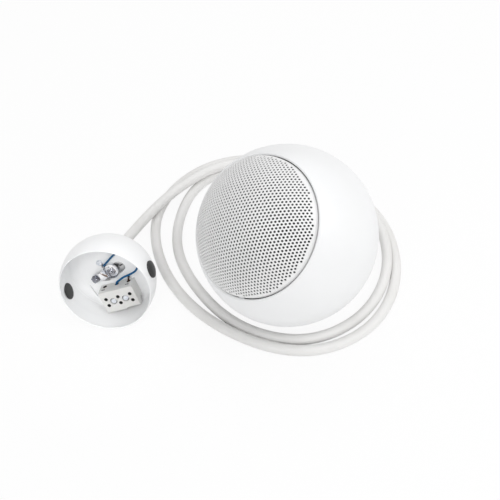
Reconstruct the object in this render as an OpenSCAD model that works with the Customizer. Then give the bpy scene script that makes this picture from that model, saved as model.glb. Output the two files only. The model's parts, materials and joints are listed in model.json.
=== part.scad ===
// Pendant ball loudspeaker, lying with its cable and its ceiling canopy.
// The ball and the canopy each have a frame of their own: Z is the axis of the mouth.

/* [Ball] */
// Outer diameter of the ball
ball_d = 183; // [170:1:200]
// Wall of the ball
ball_wall = 3; // [2.5:0.5:4]
// Turn of the ball's mouth about the vertical
ball_turn = -142; // [-180:1:180]
// Rise of the ball's mouth above the horizon
ball_rise = 44; // [35:1:55]

/* [Grille] */
// Dark gap between the grille's rim and the mouth
grille_gap = 1; // [0.6:0.1:2]
// Step from the ball's sphere down to the grille's dome
grille_drop = 0.6; // [0.3:0.1:1.5]
// Thickness of the grille's sheet
grille_t = 1; // [0.8:0.1:1.5]
// Distance between neighbouring holes, drawn at two and a half times the sheet's 3.5 mm
hole_pitch = 8.75; // [8.25:0.25:16]
// Diameter of a hole, drawn at two and a half times the sheet's 1.9 mm
hole_d = 4.75; // [3:0.25:6.5]
// Turn of the hole rows about the grille's axis
hole_turn = 15.5; // [0:0.5:60]

/* [Driver] */
// Diameter of the cone at its outer edge
cone_d = 90; // [86:1:92]
// Width of the rubber surround of the cone
surround_w = 6.5; // [6:0.5:8]
// Width of the driver's flange outside the surround
flange_w = 10.5; // [9:0.5:12]
// Width of the baffle ring outside the driver's flange
baffle_w = 7.1; // [6.8:0.1:9]
// Depth of the driver behind its flange
driver_depth = 54; // [50:1:60]
// Diameter of the ring magnet
magnet_d = 76; // [70:1:80]
// Diameter of the voice coil's former
coil_d = 26; // [24:0.5:27]

/* [Canopy] */
// Outer diameter of the canopy's sphere
canopy_d = 98; // [92:1:106]
// Wall of the canopy
canopy_wall = 2.2; // [1.8:0.1:3]
// Distance from the sphere's centre to the rim of the canopy's mouth
canopy_mouth_h = 15; // [10:1:20]
// Turn of the canopy's mouth about the vertical
canopy_turn = -95; // [-180:1:180]
// Rise of the canopy's mouth above the horizon
canopy_rise = 15; // [5:1:25]
// Roll of the canopy about its own axis
canopy_roll = 111; // [90:1:130]
// Diameter of a side plug's head
plug_d = 16.5; // [14:0.5:18]
// Distance between ball and canopy, across
span_x = 182; // [175:1:190]
// Distance between ball and canopy, towards the front
span_y = 24; // [15:1:30]

/* [Terminal block] */
// Length of the block
block_l = 38.5; // [34:0.5:40]
// Width of the block
block_w = 25.5; // [22:0.5:26]
// Height of the block above the base plate
block_h = 16; // [14:0.5:18]
// Distance between the block's poles
pole_pitch = 13.8; // [11:0.1:14]

/* [Cable] */
// Diameter of the cable
cord_d = 11.5; // [8:0.5:11.5]
// How far the ball's gland stands out
gland_out = 8; // [6:0.5:10]
// How far the canopy's bush stands out
bush_out = 6; // [4:0.5:8]

/* [Hidden] */

fit = 0.1;
seat_gap = 0.3;
round_fn = 96;
small_fn = 32;

ball_r = ball_d / 2;
canopy_r = canopy_d / 2;
ball_x = (span_x + canopy_r + ball_r) / 2 - ball_r;
canopy_x = ball_x - span_x;

cone_r = cone_d / 2;
surround_r = cone_r + surround_w;
flange_r = surround_r + flange_w;
mouth_r = flange_r + baffle_w;
bead_r = ball_wall / 2;
bead_x = mouth_r + bead_r;
bead_z = sqrt(pow(ball_r - bead_r, 2) - pow(bead_x, 2));
grille_r = ball_r - grille_drop;
rim_r = mouth_r - grille_gap;
bend_r = 1.4;
baffle_t = 4;
baffle_z = bead_z - 6;
ledge_t = 3;
ledge_in = flange_r - 2;
baffle_top = baffle_z + baffle_t;
baffle_hole_r = surround_r + 1.5;
screw_ring_r = flange_r - 4;
driver_head_d = 6.4;
rubber_r = screw_ring_r - driver_head_d / 2 - 0.2;
baffle_screw_ring_r = flange_r + 2.4;
lug_w = 5;
lug_angle = 27.7;

flange_t = 1.2;
basket_t = 1.2;
plate_t = 4;
magnet_t = 14;
floor_z = -(driver_depth - 2 * plate_t - magnet_t);
step_z = floor_z + 11;
magnet_r = magnet_d / 2;
coil_r = coil_d / 2;
foot_r = coil_r + 21;
step_r = coil_r + 27;
pole_r = coil_r - 0.8;
gap_r = coil_r + 1.4;
tag_y = step_r + 5.5;

pole_flat = 0.8;
gland_seat = ball_r - pole_flat;
pad_t = 4.2;
gland_r = 12;
gland_stem_r = 8;
wire_hole_r = 4.5;
nut_t = 5;

post_x = 27;
post_r = 5;
post_top = -58;
bracket_t = 1.5;
core_w = 42;
core_h = 35;
core_t = 15;
core_z = post_top + bracket_t;

cord_r = cord_d / 2;
wire_r = 0.9;

bush_seat = canopy_r - 0.6;
bush_r = 9.5;
bush_stem_r = 6.6;
canopy_bead = canopy_wall / 2;
canopy_bead_x = sqrt(pow(canopy_r - canopy_bead, 2) - pow(canopy_mouth_h - canopy_bead, 2));
canopy_in = canopy_r - canopy_wall;
plug_hole_r = 5;
base_top = -20;
base_t = 4;
base_cut_x = -32.5;
base_cut_turn = 7;
base_cut_y = -7;
pocket_at = [-1.3, -1.65];
pocket_turn = 20;
pocket_l = 32.5;
pocket_w = 13;
steel_t = 2;
steel_z = base_top - 3;
clamp_at = [-11.4, -1.3];
clamp_turn = 15.7;
bolt_gap = 20.7;
far_at = [-9.8, 12.5];
blue_hole_at = [-7.3, 7];
blue_hole_r = 2.6;
brown_hole_r = 1.7;

block_at = [-1.2, -27.5];
block_face = base_top + block_h;
step_h = 8;
step_in = 5;
fix_x = pole_pitch / 2;
pole_h = 4.6;
pole_bore = 2.7;
term_y = 4;
term_d = 3.4;
fix_d = 5.4;

// Route of the cable from the ball's gland to the canopy's bush.
// F is the height of the axis where the cable lies on the surface, T where it lies on itself.
F = cord_r;
T = 3 * cord_r;
ROUTE = [
    [141, 57, 9.3], [157.5, 81, F], [162, 108, F], [150.5, 133, F], [122.5, 149.5, F],
    [81, 164, F], [42, 182, F], [7, 188, F], [-25, 168.5, F], [-47, 120, F], [-49, 60, F],
    [-24, 1, F], [25, -50, F], [90, -66, F], [148, -37, F], [180, 14, 10], [185, 66, 14],
    [163, 130, T], [121, 177, T], [64, 208, 7], [-4, 204, F], [-51, 168, F], [-75, 116, F],
    [-69, 47, F], [-35, -16, F], [22, -62, F], [92, -80, F], [153, -54, F], [189, 3, F],
    [195, 64, F], [174.5, 125, F], [123, 166, F], [68, 188, 11], [16, 191, 17.5], [-36, 163, 17.5],
    [-80, 109, 17.8], [-100, 66, 24], [-105.5, 46, 30]
];

// A point of the ball's frame in the part's frame.
function turned(v, rise, turn) =
    let (a = 90 - rise, x = v[0] * cos(a) + v[2] * sin(a), z = v[2] * cos(a) - v[0] * sin(a))
    [x * cos(turn) - v[1] * sin(turn), x * sin(turn) + v[1] * cos(turn), z];

// A point on the ball's axis behind the ball, and one on the canopy's, at a distance from the centre.
function behind_ball(d) = [ball_x, 0, ball_r] + turned([0, 0, -d], ball_rise, ball_turn);
function behind_canopy(d) = [canopy_x, -span_y, canopy_r] + turned([0, 0, -d], canopy_rise, canopy_turn);
gland_face = gland_seat + gland_out;
bush_face = bush_seat + bush_out;
CORD = concat([behind_ball(gland_face + 6.7)], ROUTE, [behind_canopy(bush_face + 8)]);

module at_ball() {
    translate([ball_x, 0, ball_r]) rotate([0, 90 - ball_rise, ball_turn]) children();
}

module at_canopy() {
    translate([canopy_x, -span_y, canopy_r]) rotate([0, 90 - canopy_rise, canopy_turn])
        rotate([0, 0, canopy_roll]) children();
}

// The long recess of the canopy's base plate: X runs along it.
module at_pocket() {
    translate([pocket_at[0], pocket_at[1], 0]) rotate([0, 0, pocket_turn]) children();
}

module at_driver() {
    at_ball() translate([0, 0, baffle_top]) children();
}

// A point on the smooth curve through four neighbouring points, at t from 0 to 1.
function curve_at(a, b, c, d, t) =
    0.5 * (2 * b + (c - a) * t + (2 * a - 5 * b + 4 * c - d) * t * t
        + (3 * b - 3 * c + d - a) * t * t * t);

// The curve through a list of points, with k steps between neighbours.
function curve(p, k) = let (n = len(p))
    concat([for (i = [0 : n - 2]) for (j = [0 : k - 1])
        curve_at(p[max(i - 1, 0)], p[i], p[i + 1], p[min(i + 2, n - 1)], j / k)], [p[n - 1]]);

// A round tube swept along a list of points, with a fixed sense of up.
module tube(q, r, sides) {
    n = len(q);
    dirs = [for (i = [0 : n - 1]) let (d = q[min(i + 1, n - 1)] - q[max(i - 1, 0)]) d / norm(d)];
    up = [0, 0, 1];
    rings = [for (i = [0 : n - 1])
        let (s = cross(dirs[i], up), u = s / norm(s), v = cross(u, dirs[i]))
        for (j = [0 : sides - 1])
            q[i] + r * (cos(360 * j / sides) * u + sin(360 * j / sides) * v)];
    sides_of_tube = [for (i = [0 : n - 2]) for (j = [0 : sides - 1])
        let (a = i * sides + j, b = i * sides + (j + 1) % sides)
        each [[a, b, b + sides], [a, b + sides, a + sides]]];
    ends = [[for (j = [0 : sides - 1]) sides - 1 - j], [for (j = [0 : sides - 1]) (n - 1) * sides + j]];
    polyhedron(points = rings, faces = concat(sides_of_tube, ends), convexity = 10);
}

// Half profile of a bowl wall with a round bead at its mouth, from the pole to the mouth.
module bowl_profile(r, wall, mouth_x, mouth_z) {
    bead = wall / 2;
    difference() {
        circle(r = r, $fn = round_fn);
        circle(r = r - wall, $fn = round_fn);
        translate([-2 * r, -2 * r]) square([2 * r, 4 * r]);
        polygon([[0, 0], [4 * mouth_x, 4 * mouth_z], [0, 4 * r]]);
    }
    translate([mouth_x, mouth_z]) circle(r = bead, $fn = small_fn);
}

// Outline of a dome from its axis to a rim that is bent down to base_z.
module dome_outline(r, rim, base_z, bend, cx, cz) {
    intersection() {
        union() {
            intersection() {
                circle(r = r, $fn = round_fn);
                polygon([[0, 0], [4 * cx, 4 * cz], [0, 4 * r]]);
            }
            translate([cx, cz]) circle(r = bend, $fn = small_fn);
            square([rim, cz]);
        }
        translate([0, base_z]) square([2 * r, 2 * r]);
    }
}

// Half profile of a dome of sheet with a bent rim that stands on base_z.
module dome_profile(r, t, rim, base_z, bend) {
    cx = rim - bend;
    cz = sqrt(pow(r - bend, 2) - pow(cx, 2));
    difference() {
        dome_outline(r, rim, base_z, bend, cx, cz);
        dome_outline(r - t, rim - t, base_z - 1, bend - t, cx, cz);
    }
}

module ring(r_in, r_out, z, h, fn = round_fn) {
    translate([0, 0, z]) difference() {
        cylinder(r = r_out, h = h, $fn = fn);
        translate([0, 0, -1]) cylinder(r = r_in, h = h + 2, $fn = fn);
    }
}

// A pan head screw: the head stands on z = 0 and the shank points down.
module pan_screw(d, length, head_d, head_h) {
    rotate_extrude($fn = small_fn) polygon([[0, -length], [d / 2, -length + d / 4], [d / 2, 0],
        [head_d / 2, 0], [head_d / 2, head_h * 0.5], [head_d * 0.36, head_h], [0, head_h]]);
}

module obround(l, w, h) {
    translate([-(l - w) / 2, 0, 0]) cylinder(d = w, h = h, $fn = small_fn);
    translate([(l - w) / 2, 0, 0]) cylinder(d = w, h = h, $fn = small_fn);
    translate([-(l - w) / 2, -w / 2, 0]) cube([l - w, w, h]);
}

module ball_shell() {
    color("white") at_ball() difference() {
        union() {
            rotate_extrude($fn = round_fn) {
                bowl_profile(ball_r, ball_wall, bead_x, bead_z);
                translate([mouth_r, baffle_z - ledge_t]) square([ball_wall, bead_z - baffle_z + ledge_t]);
                translate([ledge_in, baffle_z - ledge_t]) square([mouth_r - ledge_in + 1, ledge_t]);
            }
            intersection() {
                translate([0, 0, -ball_r]) cylinder(r = gland_r + 3, h = pole_flat + pad_t, $fn = round_fn);
                sphere(r = ball_r - bead_r, $fn = round_fn);
            }
            intersection() {
                for (s = [-1, 1]) translate([s * post_x, 0, -ball_r])
                    cylinder(r = post_r, h = ball_r + post_top, $fn = small_fn);
                sphere(r = ball_r - bead_r, $fn = round_fn);
            }
            rotate([0, 0, lug_angle]) translate([mouth_r - grille_gap + fit, -lug_w / 2, bead_z - 2])
                cube([grille_gap + 1, lug_w, 2.6]);
        }
        translate([0, 0, -gland_seat - 20]) cylinder(r = 40, h = 20, $fn = round_fn);
        translate([0, 0, -ball_r - 1]) cylinder(r = gland_stem_r + fit, h = 20, $fn = small_fn);
        for (s = [-1, 1]) translate([s * post_x, 0, post_top - 12])
            cylinder(r = 1.6, h = 13, $fn = small_fn);
        for (a = [30, 150, 270]) rotate([0, 0, a])
            translate([baffle_screw_ring_r, 0, baffle_z - ledge_t - 1])
                cylinder(r = 1.6, h = ledge_t + 2, $fn = small_fn);
    }
}

module grille() {
    flat_r = grille_r * sin(asin((rim_r - bend_r) / (grille_r - bend_r))) - hole_d * 0.75;
    reach = asin(flat_r / grille_r);
    count = ceil(1.3 * flat_r / hole_pitch);
    low = grille_r - 3 * grille_t;
    high = grille_r + 2 * grille_t;
    color("whitesmoke") at_ball() difference() {
        rotate_extrude($fn = round_fn) dome_profile(grille_r, grille_t, rim_r, baffle_top, bend_r);
        for (i = [-count : count]) for (j = [-count : count])
            let (x = hole_pitch * (i + j / 2), y = hole_pitch * j * sqrt(3) / 2, r = norm([x, y]))
            if (r < grille_r && 2 * asin(r / 2 / grille_r) < reach)
                rotate([0, 2 * asin(r / 2 / grille_r), hole_turn + (r > 0 ? atan2(y, x) : 0)])
                    translate([0, 0, low]) cylinder(d1 = hole_d * low / grille_r,
                        d2 = hole_d * high / grille_r, h = high - low, $fn = 16);
    }
}

module acoustic_cloth() {
    color("black") at_ball() rotate_extrude($fn = round_fn)
        dome_profile(grille_r - grille_t - seat_gap, 0.6, rim_r - grille_t - seat_gap, baffle_top, bend_r);
}

module baffle_ring() {
    color("dimgray") at_ball() difference() {
        ring(baffle_hole_r, mouth_r - seat_gap, baffle_z, baffle_t);
        for (a = [45 : 90 : 315]) rotate([0, 0, a]) translate([screw_ring_r, 0, baffle_z - 1])
            cylinder(r = 2, h = baffle_t + 2, $fn = small_fn);
        for (a = [30, 150, 270]) rotate([0, 0, a]) translate([baffle_screw_ring_r, 0, baffle_z - 1])
            cylinder(r = 1.8, h = baffle_t + 2, $fn = small_fn);
        for (a = [30, 150, 270]) rotate([0, 0, a]) translate([baffle_screw_ring_r, 0, baffle_top - 1.6])
            cylinder(r = 3.2, h = 2, $fn = small_fn);
    }
}

module baffle_screws() {
    color("silver") at_ball() for (a = [30, 150, 270]) rotate([0, 0, a])
        translate([baffle_screw_ring_r, 0, baffle_top - 1.6]) pan_screw(3, 8, 5.8, 1.5);
}

module driver_basket() {
    window_l = 12;
    color("dimgray") at_driver() difference() {
        union() {
            rotate_extrude($fn = round_fn) polygon([
                [surround_r - 1, 0], [flange_r, 0], [flange_r, flange_t], [surround_r - 2, flange_t],
                [step_r - basket_t, step_z + 2], [step_r - basket_t, step_z], [foot_r, step_z],
                [foot_r, floor_z + basket_t], [coil_r + 3, floor_z + basket_t], [coil_r + 3, floor_z],
                [foot_r + basket_t, floor_z], [foot_r + basket_t, step_z - basket_t],
                [step_r, step_z - basket_t], [step_r, step_z + 2]]);
            translate([-5, foot_r, step_z - basket_t]) cube([10, tag_y + 1.5 - foot_r, basket_t]);
        }
        for (a = [0 : 60 : 300]) rotate([0, 0, a])
            translate([(surround_r + step_r) / 2 - 1.8, 0, step_z / 2 + 1]) rotate([0, 62, 0])
                linear_extrude(height = 12, center = true)
                    polygon([[-window_l / 2, -14], [window_l / 2, -11],
                        [window_l / 2, 11], [-window_l / 2, 14]]);
        for (a = [45 : 90 : 315]) rotate([0, 0, a]) translate([screw_ring_r, 0, -1])
            cylinder(r = 2.2, h = flange_t + 2, $fn = small_fn);
    }
}

module driver_gasket() {
    color("black") at_driver() ring(surround_r + 0.6, rubber_r, flange_t + 0.6, 2.4);
}

module surround() {
    roll_x = (cone_r + surround_r) / 2;
    roll_r = surround_w / 2;
    color("black") at_driver() rotate_extrude($fn = round_fn) {
        intersection() {
            translate([roll_x, flange_t]) difference() {
                circle(r = roll_r + 0.3, $fn = small_fn);
                circle(r = roll_r - 0.3, $fn = small_fn);
            }
            translate([0, flange_t]) square([100, 20]);
        }
        translate([surround_r - 0.3, flange_t]) square([rubber_r - surround_r + 0.3, 0.6]);
        translate([cone_r - 2, flange_t]) square([2.3, 0.6]);
    }
}

module cone() {
    color("gray") at_driver() rotate_extrude($fn = round_fn) polygon([
        [coil_r + fit, step_z + 5], [coil_r + fit + 1, step_z + 5], [cone_r, flange_t - 1],
        [cone_r, flange_t], [cone_r - 3, flange_t], [coil_r + fit, step_z + 6.2]]);
}

module dust_cap() {
    cap_r = 42;
    cap_x = coil_r + 6;
    cap_z = step_z + 10.6;
    drop = sqrt(cap_r * cap_r - cap_x * cap_x);
    color("dimgray") at_driver() rotate_extrude($fn = round_fn) translate([0, cap_z - drop])
        intersection() {
            difference() {
                circle(r = cap_r, $fn = round_fn);
                circle(r = cap_r - 0.6, $fn = round_fn);
            }
            translate([0, drop]) square([cap_x, 20]);
        }
}

module spider() {
    wave = (foot_r - coil_r - 4) / 5;
    color("burlywood") at_driver() rotate_extrude($fn = round_fn) polygon(concat(
        [[coil_r + fit, step_z], [coil_r + fit, step_z + 0.6]],
        [for (i = [1 : 5]) [coil_r + 2 + wave * i, step_z + 0.6 + (i % 2) * 1.2]],
        [[step_r - 1.5, step_z + 0.6], [step_r - 1.5, step_z], [foot_r + 0.2, step_z]],
        [for (i = [5 : -1 : 1]) [coil_r + 2 + wave * i, step_z + (i % 2) * 1.2]]));
}

module voice_coil() {
    color("peru") at_driver() {
        ring(coil_r - 0.3, coil_r, floor_z - 12, step_z + 5 - floor_z + 12);
        ring(coil_r - 0.05, coil_r + 0.6, floor_z - 7, 8);
    }
}

module top_plate() {
    color("silver") at_driver() ring(gap_r, magnet_r - 4, floor_z - plate_t, plate_t);
}

module magnet() {
    color("black") at_driver() ring(coil_r + 5, magnet_r, floor_z - plate_t - magnet_t, magnet_t);
}

module pole_piece() {
    color("silver") at_driver() difference() {
        union() {
            translate([0, 0, -driver_depth]) {
                cylinder(r = magnet_r - 2, h = plate_t, $fn = round_fn);
                cylinder(r = pole_r, h = driver_depth + floor_z, $fn = round_fn);
            }
        }
        translate([0, 0, -driver_depth - 1]) cylinder(r = 4, h = driver_depth, $fn = small_fn);
    }
}

module driver_screws() {
    color("silver") at_driver() for (a = [45 : 90 : 315]) rotate([0, 0, a])
        translate([screw_ring_r, 0, flange_t]) pan_screw(3.8, 9, driver_head_d, 2.4);
}

module tag_strip() {
    color("goldenrod") at_driver() translate([0, tag_y, step_z]) {
        translate([-6, -1, 0]) cube([12, 2, 7]);
        for (s = [-1, 1]) translate([s * 3.5 - 1, 1, 3]) cube([2, 5, 0.8]);
    }
}

module transformer_bracket() {
    leg_x = core_w / 2 + fit;
    color("silver") at_ball() translate([0, 0, post_top]) {
        difference() {
            translate([-post_x - 6, -8, 0]) cube([2 * post_x + 12, 16, bracket_t]);
            for (s = [-1, 1]) translate([s * post_x, 0, -1]) cylinder(r = 1.8, h = 4, $fn = small_fn);
        }
        for (s = [-1, 1]) translate([s * (leg_x + bracket_t / 2) - bracket_t / 2, -6, bracket_t])
            cube([bracket_t, 12, core_h]);
    }
}

module transformer_core() {
    color("slategray") at_ball() translate([0, 0, core_z]) rotate([90, 0, 0]) difference() {
        translate([-core_w / 2, 0, -core_t / 2]) cube([core_w, core_h, core_t]);
        for (s = [-1, 1]) translate([s * 10.5 - 3.5, 7, -core_t]) cube([7, core_h - 14, 2 * core_t]);
    }
}

module transformer_bobbin() {
    color("black") at_ball() translate([0, 0, core_z]) difference() {
        union() {
            for (z = [7.2, core_h - 8.7]) translate([-13.8, -13, z]) cube([27.6, 26, 1.5]);
            translate([-8.2, -8.7, 7.2]) cube([16.4, 17.4, core_h - 14.4]);
        }
        translate([-7.1, -7.6, 0]) cube([14.2, 15.2, core_h]);
        for (s = [-1, 1]) translate([s * 30.9 - 17, -core_t / 2 - fit, 0])
            cube([34, core_t + 2 * fit, core_h]);
    }
}

module transformer_winding() {
    color("chocolate") at_ball() translate([0, 0, core_z + 8.8]) difference() {
        translate([-13.4, -12.5, 0]) cube([26.8, 25, core_h - 17.6]);
        translate([-8.3, -8.8, -1]) cube([16.6, 17.6, core_h]);
    }
}

module transformer_screws() {
    color("silver") at_ball() for (s = [-1, 1]) translate([s * post_x, 0, core_z]) pan_screw(3, 10, 5.8, 2);
}

module ball_leads() {
    tag = [3.5, tag_y + 4.5, baffle_top + step_z + 1.8];
    wires = [
        [[-1.5, 0, -gland_seat + 2], [-1.5, -3, -78], [-4, -12, -62], [-6, -16, -45], [-6, -13.9, -38]],
        [[1.5, 0, -gland_seat + 2], [1.5, -3, -77], [4, -13, -60], [6, -16, -45], [6, -13.9, -38]],
        [[-6, 13.9, -38], [-6, 22, -30], [-8, 38, -10], [-6, 48, 10], [-tag[0], tag[1], tag[2]]],
        [[6, 13.9, -38], [6, 22, -30], [8, 38, -10], [6, 48, 10], tag]
    ];
    color("firebrick") at_ball() for (w = wires) tube(curve(w, 3), wire_r, 6);
}

module gland_body() {
    color("white") at_ball() translate([0, 0, -gland_seat]) difference() {
        union() {
            rotate_extrude($fn = round_fn) polygon([[0, 0], [gland_r, 0], [gland_r, -3],
                [gland_r - 1.5, -3.6], [cord_r + 1.6, -gland_out], [0, -gland_out]]);
            cylinder(r = gland_stem_r, h = pad_t + nut_t + 3, $fn = small_fn);
        }
        translate([0, 0, -gland_out - 1]) cylinder(r = wire_hole_r, h = 40, $fn = small_fn);
    }
}

module gland_nut() {
    color("lightgray") at_ball() translate([0, 0, -gland_seat + pad_t]) difference() {
        cylinder(r = gland_r, h = nut_t, $fn = 6);
        translate([0, 0, -1]) cylinder(r = gland_stem_r + fit, h = nut_t + 2, $fn = small_fn);
    }
}

module canopy_shell() {
    color("white") at_canopy() difference() {
        rotate_extrude($fn = round_fn)
            bowl_profile(canopy_r, canopy_wall, canopy_bead_x, canopy_mouth_h - canopy_bead);
        translate([0, 0, -bush_seat - 20]) cylinder(r = 20, h = 20, $fn = round_fn);
        translate([0, 0, -canopy_r - 1]) cylinder(r = bush_stem_r + fit, h = 20, $fn = small_fn);
        rotate([0, 90, 0]) cylinder(r = plug_hole_r, h = 2.4 * canopy_r, center = true, $fn = small_fn);
    }
}

module canopy_bush() {
    color("white") at_canopy() translate([0, 0, -bush_seat]) difference() {
        union() {
            rotate_extrude($fn = round_fn) polygon([[0, 0], [bush_r, 0], [bush_r, -2],
                [bush_r - 1, -2.6], [cord_r + 1.2, -bush_out], [0, -bush_out]]);
            cylinder(r = bush_stem_r, h = 6, $fn = small_fn);
        }
        translate([0, 0, -bush_out - 1]) cylinder(r = wire_hole_r, h = 40, $fn = small_fn);
    }
}

// A side plug on the X axis: outer head, neck and inner head.
module plug() {
    head_h = 2.4;
    difference() {
        rotate([0, 90, 0]) rotate_extrude($fn = small_fn) polygon(concat(
            [[0, canopy_in - 2.2], [plug_d / 2 - 1.4, canopy_in - 2.2], [plug_d / 2 - 1, canopy_in]],
            [[plug_hole_r - fit, canopy_in], [plug_hole_r - fit, canopy_r - 0.8]],
            [[plug_d / 2, canopy_r - 0.8]],
            [for (a = [0 : 15 : 90]) [plug_d / 2 * cos(a), canopy_r + (head_h - 0.2) * sin(a)]]));
        difference() {
            sphere(r = canopy_r + 0.05, $fn = round_fn);
            sphere(r = canopy_in - 0.05, $fn = round_fn);
            rotate([0, 90, 0]) cylinder(r = plug_hole_r - fit, h = 2 * canopy_r, $fn = small_fn);
        }
    }
}

module plug_right() {
    color("black") at_canopy() plug();
}

module plug_left() {
    color("black") at_canopy() rotate([0, 0, 180]) plug();
}

module canopy_base() {
    color("white") at_canopy() difference() {
        union() {
            intersection() {
                translate([0, 0, base_top - base_t]) cylinder(r = canopy_r, h = base_t, $fn = round_fn);
                sphere(r = canopy_in - fit, $fn = round_fn);
            }
            intersection() {
                ring(22, 26, -canopy_r, canopy_r + base_top - base_t);
                sphere(r = canopy_in - fit, $fn = round_fn);
            }
        }
        rotate([0, 0, base_cut_turn])
            translate([base_cut_x - canopy_r, base_cut_y - canopy_r, base_top - 10])
                cube([canopy_r, canopy_r, 20]);
        at_pocket() translate([0, 0, steel_z]) obround(pocket_l, pocket_w, 10);
        translate(concat(blue_hole_at, base_top - 10)) cylinder(r = blue_hole_r, h = 20, $fn = small_fn);
        translate([block_at[0] + pole_pitch, block_at[1] + block_w / 2 + 2.4, base_top - 10])
            cylinder(r = brown_hole_r, h = 20, $fn = small_fn);
        for (s = [-1, 1]) translate(concat(clamp_at, base_top - 10)) rotate([0, 0, clamp_turn])
            translate([s * bolt_gap / 2, 0, 0]) cylinder(r = 2.1, h = 20, $fn = small_fn);
        for (s = [-1, 1]) translate([block_at[0] + s * fix_x, block_at[1], base_top - 10])
            cylinder(r = 1.6, h = 20, $fn = small_fn);
        translate(concat(far_at, base_top - 10)) cylinder(r = 1.6, h = 20, $fn = small_fn);
    }
}

module suspension_plate() {
    slots = [[8.5, 1.9], [12.3, 0]];
    color("silver") at_canopy() difference() {
        at_pocket() translate([0, 0, steel_z]) obround(pocket_l - 2 * fit, pocket_w - 2 * fit, steel_t);
        at_pocket() for (q = slots) translate([q[0], q[1], steel_z - 1]) obround(4.4, 1.3, steel_t + 2);
        translate(concat(clamp_at, steel_z - 1)) rotate([0, 0, clamp_turn]) translate([bolt_gap / 2, 0, 0])
            cylinder(r = 2.1, h = steel_t + 2, $fn = small_fn);
    }
}

module cable_saddle() {
    t = 1.4;
    arch = 5;
    color("gainsboro") at_canopy() translate(concat(clamp_at, base_top)) rotate([0, 0, clamp_turn])
        difference() {
            rotate([90, 0, 0]) linear_extrude(height = 9, center = true) difference() {
                union() {
                    circle(r = arch + t, $fn = small_fn);
                    translate([-bolt_gap / 2 - 4.5, 0]) square([bolt_gap + 9, t]);
                }
                circle(r = arch, $fn = small_fn);
                translate([-30, -30]) square([60, 30]);
            }
            for (s = [-1, 1]) translate([s * bolt_gap / 2, 0, -1]) cylinder(r = 2.1, h = 4, $fn = small_fn);
        }
}

module saddle_bolts() {
    color("gainsboro") at_canopy() for (s = [-1, 1])
        translate(concat(clamp_at, base_top + 1.4)) rotate([0, 0, clamp_turn])
            translate([s * bolt_gap / 2, 0, 0]) {
                translate([-3.5, -3.5, 0]) cube([7, 7, 3.2]);
                translate([0, 0, 3.2]) pan_screw(4, 9, 6.6, 2.6);
            }
}

module far_screw() {
    color("silver") at_canopy() translate(concat(far_at, base_top)) pan_screw(3, 4, 6.4, 3);
}

module terminal_block() {
    color("gainsboro") at_canopy() translate([block_at[0], block_at[1], base_top]) difference() {
        union() {
            translate([-block_l / 2, -block_w / 2, step_h]) cube([block_l, block_w, block_h - step_h]);
            translate([-block_l / 2 + 1, -block_w / 2 + step_in, 0])
                cube([block_l - 2, block_w - step_in, step_h]);
        }
        for (i = [-1 : 1]) {
            for (s = [-1, 1]) translate([i * pole_pitch, s * term_y, pole_h])
                cylinder(d = term_d, h = 20, $fn = small_fn);
            translate([i * pole_pitch, 0, pole_h]) rotate([90, 0, 0])
                cylinder(r = pole_bore, h = 60, center = true, $fn = small_fn);
        }
        for (s = [-1, 1]) {
            translate([s * fix_x, 0, -1]) cylinder(r = 1.8, h = 40, $fn = small_fn);
            translate([s * fix_x, 0, block_h - 4]) cylinder(d = fix_d, h = 10, $fn = small_fn);
        }
        translate([4, -block_w / 2 - 1, block_h - 2]) cube([20, 2.2, 4]);
    }
}

module block_screws() {
    color("gainsboro") at_canopy() for (s = [-1, 1])
        translate([block_at[0] + s * fix_x, block_at[1], base_top + block_h - 4]) pan_screw(3, 15, 5, 2.2);
}

module terminal_inserts() {
    length = block_w - step_in - 4;
    color("goldenrod") at_canopy() for (i = [-1 : 1])
        translate([block_at[0] + i * pole_pitch, block_at[1] + step_in / 2, base_top + pole_h])
            rotate([90, 0, 0])
                difference() {
                cylinder(r = pole_bore - fit, h = length, center = true, $fn = small_fn);
                cylinder(r = pole_bore - 1.1, h = 2 * length, center = true, $fn = small_fn);
                for (s = [-1, 1]) translate([0, 0, step_in / 2 + s * term_y]) rotate([-90, 0, 0])
                    cylinder(r = 1.3, h = 10, $fn = small_fn);
            }
}

module terminal_screws() {
    color("silver") at_canopy() for (i = [-1 : 1]) for (s = [-1, 1])
        translate([block_at[0] + i * pole_pitch, block_at[1] + s * term_y, base_top + pole_h + 1.4])
            cylinder(r = 1.2, h = 3.6, $fn = small_fn);
}

// A core's last points: in front of a pole of the block, then inside it.
function into_pole(x) = let (y = block_at[1] + block_w / 2, z = base_top + pole_h)
    [[x, y + 0.5, z], [x, y - 5, z]];

module blue_core() {
    color("mediumblue") at_canopy() tube(curve(concat([
        [-7.3, 6, -27], [-7.1, 6.9, -21.5], [-5.6, 9, -17.8], [0, 12.6, -16.8], [7, 17.2, -15.5],
        [14.5, 21, -13.5], [24, 23.5, -9], [32, 18, -6.5], [34.5, 10.5, -6.5], [31.9, 4.2, -8],
        [26.2, 0.4, -8.5], [14.5, -4.7, -9.5], [3, -11, -13]], into_pole(block_at[0])), 2), wire_r, 8);
}

module brown_core() {
    x = block_at[0] + pole_pitch;
    y = block_at[1] + block_w / 2;
    color("saddlebrown") at_canopy() tube(curve(concat([
        [x - 3, y + 7.5, -30], [x - 0.6, y + 3.8, -26], [x - 0.1, y + 2.6, -21.5], [x, y + 1.6, -17.6]],
        into_pole(x)), 2), wire_r, 8);
}

module cord() {
    path = concat([behind_ball(gland_face)], [for (q = curve(CORD, 2)) [q[0], q[1], max(q[2], cord_r)]],
        [behind_canopy(bush_face)]);
    color("gainsboro") tube(path, cord_r, 8);
}

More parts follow.
